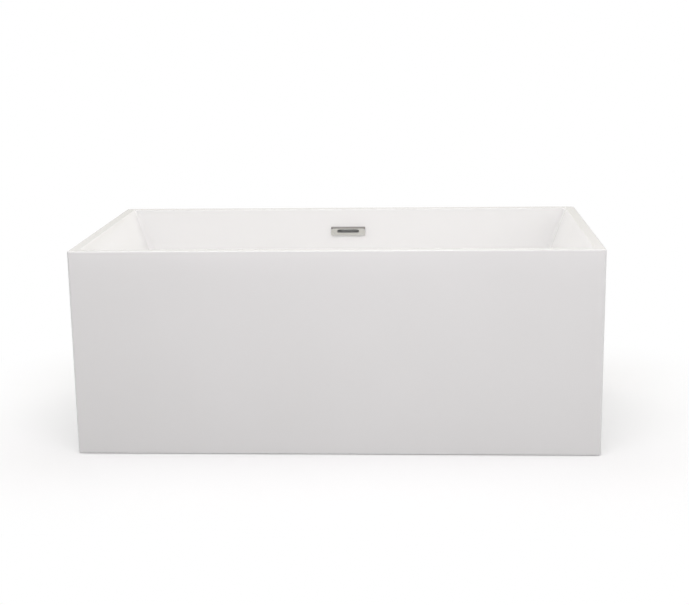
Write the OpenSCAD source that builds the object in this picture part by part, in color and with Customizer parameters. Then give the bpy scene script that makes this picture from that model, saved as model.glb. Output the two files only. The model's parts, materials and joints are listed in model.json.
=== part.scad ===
// Freestanding rectangular bathtub, double skinned, with a click waste,
// a slotted overflow and a levelling frame.
// Origin on the floor under the middle of the tub, +X along the length,
// +Y towards the long wall with the overflow, +Z up. Millimetres.

/* [Tub] */
// Overall length over the skirt
tub_l = 1500; // [1480:10:1560]
// Overall width over the skirt
tub_w = 800; // [780:10:840]
// Height of the rim above the floor
tub_h = 595; // [585:5:610]
// Width of the flat rim
rim_w = 30; // [28:1:34]
// Thickness of the rim, where it covers the top edge of the skirt
rim_t = 6; // [5:1:8]
// Radius of the upright outer corners
corner_r = 8; // [7:1:12]

/* [Basin] */
// Height of the basin floor above the ground
floor_z = 165; // [165:1:175]
// Wall thickness of the basin, acrylic with its laminate
basin_t = 7; // [6:0.5:8]
// Lean of the two end walls, run over rise
end_slope = 0.40; // [0.30:0.02:0.44]
// Lean of the two long walls, run over rise
side_slope = 0.16; // [0.12:0.01:0.18]
// Radius between the floor and the walls
floor_r = 50; // [40:5:55]
// Radius of the inside corners at the rim
inner_corner_r = 7; // [5:1:10]
// Growth of the inside corner radius per millimetre of depth
corner_growth = 0.10; // [0.05:0.01:0.12]

/* [Skirt] */
// Wall thickness of the skirt
skirt_t = 5; // [4:0.5:6]
// Gap between the skirt and the floor
skirt_gap = 3; // [2:0.5:6]
// Width of the inward lip at the foot of the skirt
lip_w = 25; // [20:1:30]

/* [Frame] */
// Side of the square frame tube
rail = 25; // [25:1:26]
// Wall of the square frame tube
rail_t = 1.5; // [1.5:0.25:2]
// Distance of the cross rails from the middle
cross_x = 560; // [540:5:570]
// Distance of the long rails from the middle
long_y = 200; // [190:5:210]
// Distance of the feet from the middle
foot_y = 320; // [315:1:325]
// Thickness of the board under the basin
board_t = 16; // [15:1:16]

/* [Feet] */
// Radius of a foot pad
pad_r = 25; // [22:1:28]
// Radius of the threaded stem
stem_r = 6; // [6:0.5:6.5]

/* [Waste] */
// Radius of the waste flange
flange_r = 35; // [34:0.5:36]
// Radius of the plug cap
cap_r = 31; // [30:0.5:32]
// Radius of the outlet spigot
outlet_r = 20; // [19:0.5:21]

/* [Overflow] */
// Width of the overflow plate
plate_w = 113; // [108:1:118]
// Height of the overflow plate
plate_h = 30; // [29:1:32]
// Depth of the overflow plate in front of the wall
plate_d = 8; // [7:0.5:9]
// Width of the slot in the plate
slot_w = 72; // [60:1:76]
// Height of the slot in the plate
slot_h = 10; // [8:0.5:12]
// Depth of the middle of the plate below the rim
plate_drop = 72.5; // [70:0.5:76]
// Radius of the overflow hose
hose_r = 11; // [10:0.25:11.5]

/* [Hidden] */
$fn = 64;

white = [0.93, 0.93, 0.92];
chrome = [0.78, 0.77, 0.76];
steel = [0.62, 0.64, 0.66];
rubber = [0.10, 0.10, 0.10];
timber = [0.76, 0.62, 0.42];
plastic = [0.85, 0.86, 0.86];
brass = [0.78, 0.62, 0.30];

half_l = tub_l / 2;
half_w = tub_w / 2;
under_z = floor_z - basin_t;            // underside of the basin floor
board_z = under_z - board_t;            // underside of the board
long_z = board_z - rail;                // underside of the long rails
cross_z = long_z - rail;                // underside of the cross rails
skirt_in_x = half_l - skirt_t;
skirt_in_y = half_w - skirt_t;
long_half = cross_x + 60;               // half length of the long rails
cross_half = half_w - 30;               // half length of the cross rails
port_z = cross_z + 6;                   // axis of the side port of the waste tee
tilt = atan(side_slope);
plate_z = tub_h - plate_drop;
plate_y = half_w - rim_w - side_slope * plate_drop;
port_y = half_w - 22;                   // axis of the port of the overflow body
hose_top = plate_z - 33.5;
tee_end = 62;                           // end of the side port of the waste tee
wall_slot_h = 14;                       // height of the overflow opening in the wall
hose_gap = 2;                           // space between a port and the end of the hose
ends = [-1, 1];

// ---- basin profile -------------------------------------------------------

// Half width of the basin at height z: a leaning wall that runs into an arc
// of radius r, which meets a flat floor at height fz.
function basin_half(z, top, slope, fz, r) =
  let (a = atan(slope),
       cz = fz + r,
       tz = cz - r * sin(a),
       cx = top - slope * (tub_h - tz) - r * cos(a))
  z >= tz ? top - slope * (tub_h - z)
          : cx + sqrt(max(0, r * r - (cz - z) * (cz - z)));

corner_steps = 10;

// Outline of a rounded rectangle at height z, anticlockwise.
function outline(hx, hy, r, z) =
  [for (q = [0:3]) for (k = [0:corner_steps])
    let (a = 90 * q + 90 * k / corner_steps,
         i = (q == 0 || q == 3) ? 1 : -1, j = q < 2 ? 1 : -1)
    [i * (hx - r) + r * cos(a), j * (hy - r) + r * sin(a), z]];

// One closed bowl, grown outwards by t, from its floor to height top_z.
module bowl(t, top_z) {
  fz = floor_z - t;
  r = floor_r + t;
  levels = concat([for (a = [90, 75, 60, 45, 32, atan(end_slope), tilt]) fz + r - r * sin(a)], [top_z]);
  n = 4 * (corner_steps + 1);
  last = (len(levels) - 1) * n;
  pts = [for (z = levels)
    let (hx = basin_half(z, half_l - rim_w + t / cos(atan(end_slope)), end_slope, fz, r),
         hy = basin_half(z, half_w - rim_w + t / cos(tilt), side_slope, fz, r))
    each outline(hx, hy, inner_corner_r + t + corner_growth * (tub_h - z), z)];
  sides = [for (l = [0:len(levels) - 2]) for (k = [0:n - 1])
    let (a = l * n + k, b = l * n + (k + 1) % n) [a, a + n, b + n, b]];
  polyhedron(points = pts, convexity = 4,
             faces = concat([[for (k = [0:n - 1]) k]], sides,
                            [[for (k = [n - 1:-1:0]) last + k]]));
}

// Upright prism with a rounded rectangular plan.
module slab(hx, hy, r, z0, z1) {
  translate([0, 0, z0])
    linear_extrude(z1 - z0)
      union() {
        square([2 * hx, 2 * (hy - r)], center = true);
        square([2 * (hx - r), 2 * hy], center = true);
        for (i = ends, j = ends)
          translate([i * (hx - r), j * (hy - r)]) circle(r);
      }
}

// Places children on the back wall: y = 0 is its wet face, +y goes behind it.
module on_back_wall() {
  translate([0, plate_y, plate_z]) rotate([-tilt, 0, 0]) children();
}

// Flat bar with half-round ends, w wide and h high, from y0 to y1.
module stadium(w, h, y0, y1) {
  translate([0, y1, 0]) rotate([90, 0, 0])
    linear_extrude(y1 - y0)
      union() {
        square([w - h, h], center = true);
        for (i = ends) translate([i * (w - h) / 2, 0]) circle(h / 2);
      }
}

// Block with small rounded corners seen from the front, from y0 to y1.
module tablet(w, h, r, y0, y1) {
  translate([0, y1, 0]) rotate([90, 0, 0])
    linear_extrude(y1 - y0)
      union() {
        square([w, h - 2 * r], center = true);
        square([w - 2 * r, h], center = true);
        for (i = ends, j = ends)
          translate([i * (w / 2 - r), j * (h / 2 - r)]) circle(r);
      }
}

// ---- shells --------------------------------------------------------------

module basin_shell() {
  color(white)
    difference() {
      union() {
        slab(half_l, half_w, corner_r, tub_h - rim_t, tub_h);
        bowl(basin_t, tub_h - rim_t / 2);
      }
      bowl(0, tub_h + 1);
      // seat and hole of the waste
      translate([0, 0, floor_z - 4]) cylinder(r = flange_r + 1.5, h = 10);
      translate([0, 0, under_z - 5]) cylinder(r = 25, h = 30);
      // opening and stud holes of the overflow
      on_back_wall() {
        stadium(80, wall_slot_h, -12, 30);
        for (i = ends) translate([i * 48, 30, 0]) rotate([90, 0, 0]) cylinder(r = 2.8, h = 42);
      }
    }
}

module outer_skirt() {
  color(white)
    difference() {
      slab(half_l, half_w, corner_r, skirt_gap, tub_h - rim_t);
      slab(skirt_in_x, skirt_in_y, corner_r - skirt_t, skirt_gap + skirt_t, tub_h);
      slab(skirt_in_x - lip_w, skirt_in_y - lip_w, 10, -5, skirt_gap + 2 * skirt_t);
    }
}

batten_z = tub_h - rim_t - 25;

module batten_x(y0, y1) {
  color(timber) translate([-(half_l - 75), y0, batten_z]) cube([2 * (half_l - 75), y1 - y0, 25]);
}
module batten_y(x0, x1) {
  color(timber) translate([x0, -(half_w - 75), batten_z]) cube([x1 - x0, 2 * (half_w - 75), 25]);
}
module rim_batten_front() { batten_x(-skirt_in_y, -skirt_in_y + 14); }
module rim_batten_back() { batten_x(skirt_in_y - 14, skirt_in_y); }
module rim_batten_left() { batten_y(-skirt_in_x, -skirt_in_x + 14); }
module rim_batten_right() { batten_y(skirt_in_x - 14, skirt_in_x); }

// ---- board and frame -----------------------------------------------------

screw_x = [-450, -150, 150, 450];

module base_board() {
  color(timber)
    difference() {
      slab(480, 235, 30, board_z, under_z);
      translate([0, 0, board_z - 5]) cylinder(r = 46, h = board_t + 10);
      for (x = screw_x, j = ends)
        translate([x, j * long_y, board_z - 5]) cylinder(r = 2.5, h = 15);
    }
}

module long_rail(side) {
  color(steel)
    difference() {
      translate([-long_half, side * long_y - rail / 2, long_z]) cube([2 * long_half, rail, rail]);
      translate([-long_half - 1, side * long_y - rail / 2 + rail_t, long_z + rail_t])
        cube([2 * long_half + 2, rail - 2 * rail_t, rail - 2 * rail_t]);
      for (x = screw_x)
        translate([x, side * long_y, long_z - 5]) cylinder(r = 2.7, h = rail + 10);
    }
}
module long_rail_front() { long_rail(-1); }
module long_rail_back() { long_rail(1); }

bracket_y = cross_half - 15;

module cross_rail(side) {
  color(steel)
    difference() {
      translate([side * cross_x - rail / 2, -cross_half, cross_z]) cube([rail, 2 * cross_half, rail]);
      translate([side * cross_x - rail / 2 + rail_t, -cross_half - 1, cross_z + rail_t])
        cube([rail - 2 * rail_t, 2 * cross_half + 2, rail - 2 * rail_t]);
      for (j = ends) {
        translate([side * cross_x, j * foot_y, cross_z - 5]) cylinder(r = stem_r + 0.5, h = rail + 10);
        translate([side * cross_x, j * bracket_y, cross_z - 5]) cylinder(r = 3.1, h = rail + 10);
      }
    }
}
module cross_rail_left() { cross_rail(-1); }
module cross_rail_right() { cross_rail(1); }

// Plastic cap in the end of a tube that runs along +X and ends at x = 0.
module end_cap() {
  inner = rail - 2 * rail_t - 0.2;
  union() {
    translate([0, -rail / 2, -rail / 2]) cube([3, rail, rail]);
    translate([-10, -inner / 2, -inner / 2]) cube([11, inner, inner]);
  }
}

module rail_end_caps() {
  color(rubber) {
    for (j = ends, i = ends)
      translate([i * long_half, j * long_y, long_z + rail / 2])
        rotate([0, 0, i > 0 ? 0 : 180]) end_cap();
    for (i = ends, j = ends)
      translate([i * cross_x, j * cross_half, cross_z + rail / 2])
        rotate([0, 0, j > 0 ? 90 : -90]) end_cap();
  }
}

module board_screws() {
  color(steel)
    for (x = screw_x, j = ends)
      translate([x, j * long_y, 0])
        union() {
          difference() {
            translate([0, 0, long_z - 4]) cylinder(r = 6, h = 4);
            translate([0, 0, long_z - 5]) cylinder(r = 2.5, h = 3, $fn = 6);
          }
          translate([0, 0, long_z - 1]) cylinder(r = 2.5, h = rail + 11);
        }
}

// Angle bracket between a cross rail and the skirt, for the +Y side at x = 0.
module skirt_bracket_shape() {
  color(steel)
    difference() {
      union() {
        translate([-20, cross_half - 22, cross_z + rail]) cube([40, skirt_in_y - cross_half + 22, 3]);
        translate([-20, skirt_in_y - 3, cross_z - 25]) cube([40, 3, rail + 28]);
      }
      translate([0, bracket_y, cross_z]) cylinder(r = 3.1, h = 60);
    }
}
module skirt_bracket_front_left() { translate([-cross_x, 0, 0]) mirror([0, 1, 0]) skirt_bracket_shape(); }
module skirt_bracket_front_right() { translate([cross_x, 0, 0]) mirror([0, 1, 0]) skirt_bracket_shape(); }
module skirt_bracket_back_left() { translate([-cross_x, 0, 0]) skirt_bracket_shape(); }
module skirt_bracket_back_right() { translate([cross_x, 0, 0]) skirt_bracket_shape(); }

module bracket_screws() {
  color(steel)
    for (i = ends, j = ends)
      translate([i * cross_x, j * bracket_y, 0])
        union() {
          translate([0, 0, cross_z - 4]) cylinder(r = 3, h = rail + 8);
          translate([0, 0, cross_z + rail + 3]) cylinder(r = 5.8, h = 4.5, $fn = 6);
        }
}

// ---- feet ----------------------------------------------------------------

module nut_shape(z0, h, bore) {
  difference() {
    translate([0, 0, z0]) cylinder(r = 10.4, h = h, $fn = 6);
    translate([0, 0, z0 - 1]) cylinder(r = bore, h = h + 2);
  }
}

module foot_weld_nuts() {
  color(steel)
    for (i = ends, j = ends)
      translate([i * cross_x, j * foot_y, 0]) nut_shape(cross_z - 10, 10, stem_r + 0.06);
}

module foot_lock_nuts() {
  color(steel)
    for (i = ends, j = ends)
      translate([i * cross_x, j * foot_y, 0]) nut_shape(cross_z - 16, 6, stem_r + 0.06);
}

// Round pad with a blind socket for the end of the stem.
module foot_pad_shape(i, j) {
  color(rubber)
    translate([i * cross_x, j * foot_y, 0])
      difference() {
        rotate_extrude()
          polygon([[0, 0], [pad_r - 1, 0], [pad_r, 1], [pad_r, 4], [pad_r - 2, 6], [13, 13], [0, 13]]);
        translate([0, 0, 4]) cylinder(r = 5.06, h = 20);
      }
}
module foot_pad_front_left() { foot_pad_shape(-1, -1); }
module foot_pad_front_right() { foot_pad_shape(1, -1); }
module foot_pad_back_left() { foot_pad_shape(-1, 1); }
module foot_pad_back_right() { foot_pad_shape(1, 1); }

// Threaded stem: spigot in the pad, spanner hexagon, long shank.
module foot_stem_shape(i, j) {
  color(steel)
    translate([i * cross_x, j * foot_y, 0])
      union() {
        translate([0, 0, 4.1]) cylinder(r = 5, h = 10);
        translate([0, 0, 13.1]) cylinder(r = 10.4, h = 7, $fn = 6);
        translate([0, 0, 19]) cylinder(r = stem_r, h = cross_z + rail - 19 + 14);
      }
}
module foot_stem_front_left() { foot_stem_shape(-1, -1); }
module foot_stem_front_right() { foot_stem_shape(1, -1); }
module foot_stem_back_left() { foot_stem_shape(-1, 1); }
module foot_stem_back_right() { foot_stem_shape(1, 1); }

// ---- waste ---------------------------------------------------------------

seat_z = floor_z - 4;                   // bottom of the seat in the basin floor
flange_top = floor_z;
hub_z = floor_z - 43;                   // underside of the crossbar of the flange

module waste_flange() {
  color(chrome)
    union() {
      difference() {
        union() {
          translate([0, 0, seat_z + 1.5]) cylinder(r = flange_r, h = 2.5);
          translate([0, 0, floor_z - 55]) cylinder(r = 22.5, h = 54);
        }
        translate([0, 0, floor_z - 60]) cylinder(r = 20, h = 70);
      }
      // crossbar that holds the cartridge
      difference() {
        intersection() {
          union() {
            translate([-21, -2.5, hub_z]) cube([42, 5, 6]);
            translate([-2.5, -21, hub_z]) cube([5, 42, 6]);
            translate([0, 0, hub_z]) cylinder(r = 8, h = 6);
          }
          translate([0, 0, hub_z - 1]) cylinder(r = 21, h = 8);
        }
        translate([0, 0, hub_z - 1]) cylinder(r = 4.05, h = 8);
      }
    }
}

module ring(r0, r1, z0, z1) {
  difference() {
    translate([0, 0, z0]) cylinder(r = r1, h = z1 - z0);
    translate([0, 0, z0 - 1]) cylinder(r = r0, h = z1 - z0 + 2);
  }
}

module waste_top_gasket() { color(rubber) ring(22.6, flange_r - 1, seat_z, seat_z + 1.5); }
module waste_bottom_gasket() { color(rubber) ring(22.6, 36, under_z - 4, under_z); }

module waste_tee() {
  top = under_z - 4;
  color(plastic)
    difference() {
      union() {
        translate([0, 0, top - 6]) cylinder(r = 38, h = 6);
        translate([0, 0, port_z - 17]) cylinder(r = 28, h = top - port_z + 14);
        translate([0, 0, 40]) cylinder(r = outlet_r, h = port_z - 50);
        translate([0, 0, port_z]) rotate([-90, 0, 0]) cylinder(r = hose_r, h = tee_end);
      }
      translate([0, 0, floor_z - 57]) cylinder(r = 22.6, h = 60);
      translate([0, 0, 30]) cylinder(r = outlet_r - 3, h = 100);
      translate([0, 0, port_z]) rotate([-90, 0, 0]) cylinder(r = hose_r - 2, h = tee_end + 5);
    }
}

// Brass cartridge screwed into the crossbar, with a blind bore for the plunger.
module plug_cartridge() {
  color(brass)
    difference() {
      union() {
        translate([0, 0, hub_z - 2]) cylinder(r = 4, h = 9);
        translate([0, 0, hub_z + 6]) cylinder(r = 8.5, h = 20);
        translate([0, 0, hub_z + 6]) cylinder(r = 10.4, h = 5, $fn = 6);
      }
      translate([0, 0, hub_z + 8]) cylinder(r = 5.06, h = 30);
    }
}

spring_z0 = hub_z + 8.1;
spring_z1 = hub_z + 17.9;
spring_turns = 5;
spring_steps = 14 * spring_turns;
spring_sides = 6;

// Coil spring under the plunger, swept along its helix.
module cartridge_spring() {
  wire = 0.45;
  rad = 4;
  rise = spring_z1 - spring_z0 - 2 * wire;
  pts = [for (i = [0:spring_steps]) for (k = [0:spring_sides - 1])
    let (a = 360 * spring_turns * i / spring_steps, b = 360 * k / spring_sides,
         rr = rad + wire * cos(b), z = spring_z0 + wire + rise * i / spring_steps + wire * sin(b))
    [rr * cos(a), rr * sin(a), z]];
  side = [for (i = [0:spring_steps - 1]) for (k = [0:spring_sides - 1])
    let (a = i * spring_sides + k, b = i * spring_sides + (k + 1) % spring_sides)
    [a, a + spring_sides, b + spring_sides, b]];
  caps = [[for (k = [0:spring_sides - 1]) k],
          [for (k = [spring_sides - 1:-1:0]) spring_steps * spring_sides + k]];
  color(steel) polyhedron(points = pts, faces = concat(side, caps), convexity = 10);
}

module plug_plunger() {
  color(brass)
    union() {
      translate([0, 0, hub_z + 18]) cylinder(r = 5, h = 22);
      translate([0, 0, hub_z + 30]) cylinder(r = 8, h = 11);
    }
}

module plug_seal() {
  color(rubber) ring(22, 26, floor_z + 0.1, floor_z + 2.1);
}

// Slightly domed cap with a rolled edge and a socket for the plunger.
module plug_cap() {
  z = floor_z + 2.1;
  color(chrome)
    union() {
      translate([0, 0, z])
        rotate_extrude()
          polygon([[0, 0], [cap_r - 1, 0], [cap_r, 1], [cap_r, 2.2], [cap_r - 1.2, 3.4],
                   [cap_r - 8, 4.4], [cap_r - 18, 5.1], [0, 5.4]]);
      translate([0, 0, hub_z + 41]) cylinder(r = 9, h = z + 0.5 - hub_z - 41);
    }
}

// ---- overflow ------------------------------------------------------------

plate_roll = min(plate_d - 1, (plate_h - slot_h) / 2 - 2);

// Side profile of the plate, t inside its outer face: square at the foot, rolled over at the top.
module plate_profile(t, y1) {
  zr = plate_h / 2 - plate_roll;
  yr = plate_roll - plate_d;
  rotate([90, 0, 90])
    linear_extrude(plate_w + 10, center = true)
      union() {
        translate([t - plate_d, -plate_h / 2 - 1]) square([plate_d - t + y1, plate_h / 2 + 1 + zr]);
        translate([yr, zr - 1]) square([y1 - yr, plate_roll - t + 1]);
        translate([yr, zr]) circle(plate_roll - t);
      }
}

module overflow_plate() {
  color(chrome)
    on_back_wall()
      union() {
        difference() {
          intersection() {
            tablet(plate_w, plate_h, 3, -plate_d, 0);
            plate_profile(0, 1);
          }
          intersection() {
            tablet(plate_w - 6, plate_h - 6, 1.5, -plate_d + 2, 1);
            plate_profile(2, 2);
          }
          stadium(slot_w, slot_h, -plate_d - 1, 1);
        }
        for (i = ends)
          translate([i * 48, 31, 0]) rotate([90, 0, 0]) cylinder(r = 2.5, h = 31 + plate_d - 1);
      }
}

module overflow_gasket() {
  color(rubber)
    on_back_wall()
      difference() {
        tablet(112, 30, 4, basin_t, basin_t + 2);
        stadium(80, wall_slot_h, basin_t - 1, basin_t + 3);
        for (i = ends) translate([i * 48, basin_t + 3, 0]) rotate([90, 0, 0]) cylinder(r = 2.8, h = 4);
      }
}

body_y0 = basin_t + 2;
body_y1 = body_y0 + 17;

module overflow_body() {
  color(plastic)
    difference() {
      union() {
        on_back_wall() tablet(112, 30, 4, body_y0, body_y1);
        translate([0, port_y, hose_top]) cylinder(r = hose_r, h = 29);
      }
      on_back_wall() {
        stadium(80, wall_slot_h, body_y0 - 1, body_y1 - 2.5);
        for (i = ends) translate([i * 48, body_y1 + 1, 0]) rotate([90, 0, 0]) cylinder(r = 2.8, h = 20);
      }
      translate([0, port_y, hose_top - 1]) cylinder(r = hose_r - 2, h = 27);
    }
}

module overflow_nuts() {
  color(steel)
    on_back_wall()
      for (i = ends)
        translate([i * 48, body_y1 + 4, 0]) rotate([90, 0, 0])
          difference() {
            cylinder(r = 4.6, h = 4, $fn = 6);
            translate([0, 0, -1]) cylinder(r = 2.55, h = 6);
          }
}

// Middle line of the hose, from the overflow body down to the waste tee.
hose_route = [
  [0, port_y, hose_top - hose_gap], [0, port_y, hose_top - 30], [0, port_y - 1, 420], [0, port_y - 4, 370],
  [0, port_y - 9, 310], [0, port_y - 16, 255], [0, port_y - 27, 205], [0, port_y - 46, 162],
  [0, port_y - 74, 128], [0, port_y - 110, 107], [0, port_y - 150, port_z], [0, port_y - 190, port_z - 3],
  [0, port_y - 235, port_z - 1], [0, tee_end + 40, port_z], [0, tee_end + hose_gap, port_z]
];
hose_n = len(hose_route);

// Smooth point on the route, u in 0 .. hose_n - 1.
function on_route(u) =
  let (i = min(floor(u), hose_n - 2), t = u - i,
       a = hose_route[max(i - 1, 0)], b = hose_route[i], c = hose_route[i + 1],
       d = hose_route[min(i + 2, hose_n - 1)])
  0.5 * ((2 * b) + (c - a) * t + (2 * a - 5 * b + 4 * c - d) * t * t + (3 * b - a - 3 * c + d) * t * t * t);

// Direction of the route in the YZ plane, square to the port at each end.
function route_dir(u) =
  u <= 0 ? [0, 0, -1]
  : u >= hose_n - 1 ? [0, -1, 0]
  : let (p = on_route(max(u - 0.02, 0)), q = on_route(min(u + 0.02, hose_n - 1)), v = q - p) v / norm(v);

hose_rings = 2 * (hose_n - 1);
hose_sides = 12;

module hose_sweep(r, over) {
  pts = [for (i = [0:hose_rings]) for (k = [0:hose_sides - 1])
    let (u = i / 2, c = on_route(u), d = route_dir(u), n = [0, -d[2], d[1]], a = 360 * (k + 0.5) / hose_sides,
         e = i == 0 ? -over : i == hose_rings ? over : 0)
    c + d * e + r * cos(a) * [1, 0, 0] + r * sin(a) * n];
  side = [for (i = [0:hose_rings - 1]) for (k = [0:hose_sides - 1])
    let (a = i * hose_sides + k, b = i * hose_sides + (k + 1) % hose_sides)
    [a, b, b + hose_sides, a + hose_sides]];
  caps = [[for (k = [hose_sides - 1:-1:0]) k],
          [for (k = [0:hose_sides - 1]) hose_rings * hose_sides + k]];
  polyhedron(points = pts, faces = concat(side, caps), convexity = 10);
}

module overflow_hose() {
  color(plastic)
    difference() {
      hose_sweep(hose_r, 0);
      hose_sweep(hose_r - 2, 3);
    }
}

// Ribbed union nut round z = 0, its grip downwards.
module union_nut_shape() {
  difference() {
    union() {
      translate([0, 0, -13]) cylinder(r = hose_r + 3.6, h = 26);
      for (a = [0:30:330]) rotate([0, 0, a]) translate([hose_r + 3.2, -1.2, -11]) cube([1.2, 2.4, 20]);
    }
    translate([0, 0, -14]) cylinder(r = hose_r + 0.1, h = 28);
    translate([0, 0, -3]) cylinder(r = hose_r + 2, h = 6);
  }
}

module at_upper() { translate([0, port_y, hose_top]) children(); }
module at_lower() { translate([0, tee_end, port_z]) rotate([90, 0, 0]) children(); }

module hose_nut_upper() { color(plastic) at_upper() union_nut_shape(); }
module hose_nut_lower() { color(plastic) at_lower() union_nut_shape(); }

module hose_seals() {
  color(rubber) {
    at_upper() ring(hose_r + 0.1, hose_r + 2, -3, 3);
    at_lower() ring(hose_r + 0.1, hose_r + 2, -3, 3);
  }
}

basin_shell();
outer_skirt();
rim_batten_front();
rim_batten_back();
rim_batten_left();
rim_batten_right();
base_board();
long_rail_front();
long_rail_back();
cross_rail_left();
cross_rail_right();
rail_end_caps();
board_screws();
skirt_bracket_front_left();
skirt_bracket_front_right();
skirt_bracket_back_left();
skirt_bracket_back_right();
bracket_screws();
foot_weld_nuts();
foot_lock_nuts();
waste_flange();
waste_top_gasket();
waste_bottom_gasket();
waste_tee();
plug_cartridge();
cartridge_spring();
overflow_plate();
overflow_gasket();
overflow_body();
overflow_nuts();
overflow_hose();
hose_nut_upper();
hose_nut_lower();
hose_seals();
plug_cap();
plug_seal();
plug_plunger();
foot_pad_front_left();
foot_pad_front_right();
foot_pad_back_left();
foot_pad_back_right();
foot_stem_front_left();
foot_stem_front_right();
foot_stem_back_left();
foot_stem_back_right();
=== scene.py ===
"""Freestanding double-skinned bathtub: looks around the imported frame."""

import json
import math

import bpy
import bmesh
from mathutils import Matrix, Vector


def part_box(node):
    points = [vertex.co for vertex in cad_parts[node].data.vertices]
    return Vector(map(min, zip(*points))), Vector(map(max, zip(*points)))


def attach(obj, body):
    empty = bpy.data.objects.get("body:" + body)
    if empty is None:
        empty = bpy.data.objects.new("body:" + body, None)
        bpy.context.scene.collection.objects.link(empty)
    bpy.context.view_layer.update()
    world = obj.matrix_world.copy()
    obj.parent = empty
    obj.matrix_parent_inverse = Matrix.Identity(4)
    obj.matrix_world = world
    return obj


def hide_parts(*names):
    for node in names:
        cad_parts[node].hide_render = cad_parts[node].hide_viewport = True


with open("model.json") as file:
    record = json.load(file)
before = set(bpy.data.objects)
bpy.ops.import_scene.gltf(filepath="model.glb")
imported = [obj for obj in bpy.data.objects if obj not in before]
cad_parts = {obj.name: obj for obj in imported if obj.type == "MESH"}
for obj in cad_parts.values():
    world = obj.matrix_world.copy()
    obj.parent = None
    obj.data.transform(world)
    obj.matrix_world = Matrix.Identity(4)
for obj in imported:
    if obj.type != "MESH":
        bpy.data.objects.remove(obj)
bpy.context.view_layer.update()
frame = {"nodes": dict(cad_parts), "record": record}
NODES = frame["nodes"]

# --------------------------------------------------------------------------
# sizes, in metres, in the CAD frame
# --------------------------------------------------------------------------
TUB_LO, TUB_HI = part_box("basin_shell")
SK_LO, SK_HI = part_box("outer_skirt")
HL, HW, H = TUB_HI.x, TUB_HI.y, TUB_HI.z          # half length, half width, rim height
SEAM = SK_HI.z                                     # where the rim meets the skirt
FOOT = SK_LO.z                                     # foot of the skirt
RIM = 0.030
R_OUT = 0.008                                      # upright outer corners
R_TOP = 0.0040                                     # outer top edge
R_IN = 0.0050                                      # inner edge of the rim
S_END, S_SIDE = 0.40, 0.16                         # lean of the walls
FLOOR_Z = 0.165
WALL_T = 0.007
FLOOR_R = 0.050
IN_R, IN_GROW = 0.007, 0.10
FALL = 0.0025                                      # the floor falls this much to the waste
SKIRT_T = 0.005
LIP = 0.025


# --------------------------------------------------------------------------
# mesh tools
# --------------------------------------------------------------------------
def new_object(name, mesh):
    obj = bpy.data.objects.new(name, mesh)
    bpy.context.scene.collection.objects.link(obj)
    return obj


def outline(hx, hy, r, z, nc=12, nx=14, ny=8):
    """Rounded rectangle as a ring of points, anticlockwise from the middle of the +X side."""
    pts = []
    r = max(r, 1e-5)
    def line(a, b, n, first, last):
        for i in range(n):
            t = (i + 0.5 * 0) / n
            if i == 0 and not first:
                continue
            pts.append((a[0] + (b[0] - a[0]) * t, a[1] + (b[1] - a[1]) * t, z))
    corners = [(hx - r, hy - r, 0), (-(hx - r), hy - r, 90), (-(hx - r), -(hy - r), 180), (hx - r, -(hy - r), 270)]
    mids = [(hx, 0), (0, hy), (-hx, 0), (0, -hy), (hx, 0)]
    for q, (cx, cy, a0) in enumerate(corners):
        start = (cx + r * math.cos(math.radians(a0)), cy + r * math.sin(math.radians(a0)))
        end = (cx + r * math.cos(math.radians(a0 + 90)), cy + r * math.sin(math.radians(a0 + 90)))
        n_in = ny if q % 2 == 0 else nx
        n_out = nx if q % 2 == 0 else ny
        line(mids[q], start, n_in, True, False)
        for k in range(nc):
            a = math.radians(a0 + 90 * k / nc)
            pts.append((cx + r * math.cos(a), cy + r * math.sin(a), z))
        line(end, mids[q + 1], n_out, True, False)
    return pts


def circle_ring(r, z, nc=12, nx=14, ny=8):
    """A circle with as many points as outline(), the quarters lined up with its corners."""
    pts = []
    n = nx + ny + nc
    for q in range(4):
        for i in range(n):
            a = math.radians(90 * q + 90 * i / n)
            pts.append((r * math.cos(a), r * math.sin(a), z))
    return pts


def mix_ring(a, b, t):
    return [tuple(p[i] + (q[i] - p[i]) * t for i in range(3)) for p, q in zip(a, b)]


def loft(name, rings, wrap=True, mats=None, flip=False, cap_start=False, cap_end=False):
    """Quads between rings of equal length. mats gives a material index for each band."""
    n = len(rings[0])
    verts = [p for ring in rings for p in ring]
    faces, index = [], []
    bands = len(rings) if wrap else len(rings) - 1
    for b in range(bands):
        a0, b0 = b * n, ((b + 1) % len(rings)) * n
        for k in range(n):
            k2 = (k + 1) % n
            f = (a0 + k, a0 + k2, b0 + k2, b0 + k)
            faces.append(f[::-1] if flip else f)
            index.append(mats[b] if mats else 0)
    if cap_start:
        f = tuple(range(n)); faces.append(f if flip else f[::-1]); index.append(mats[0] if mats else 0)
    if cap_end:
        f = tuple((len(rings) - 1) * n + k for k in range(n)); faces.append(f[::-1] if flip else f); index.append(mats[-1] if mats else 0)
    mesh = bpy.data.meshes.new(name)
    mesh.from_pydata(verts, [], faces)
    mesh.polygons.foreach_set("material_index", index)
    mesh.validate()
    bm = bmesh.new(); bm.from_mesh(mesh)
    bmesh.ops.recalc_face_normals(bm, faces=bm.faces)
    bm.to_mesh(mesh); bm.free()
    mesh.shade_smooth()
    return new_object(name, mesh)


def weighted(obj):
    m = obj.modifiers.new("weighted_normals", "WEIGHTED_NORMAL")
    m.keep_sharp = True
    m.weight = 100
    m.mode = "FACE_AREA"
    return obj


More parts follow.
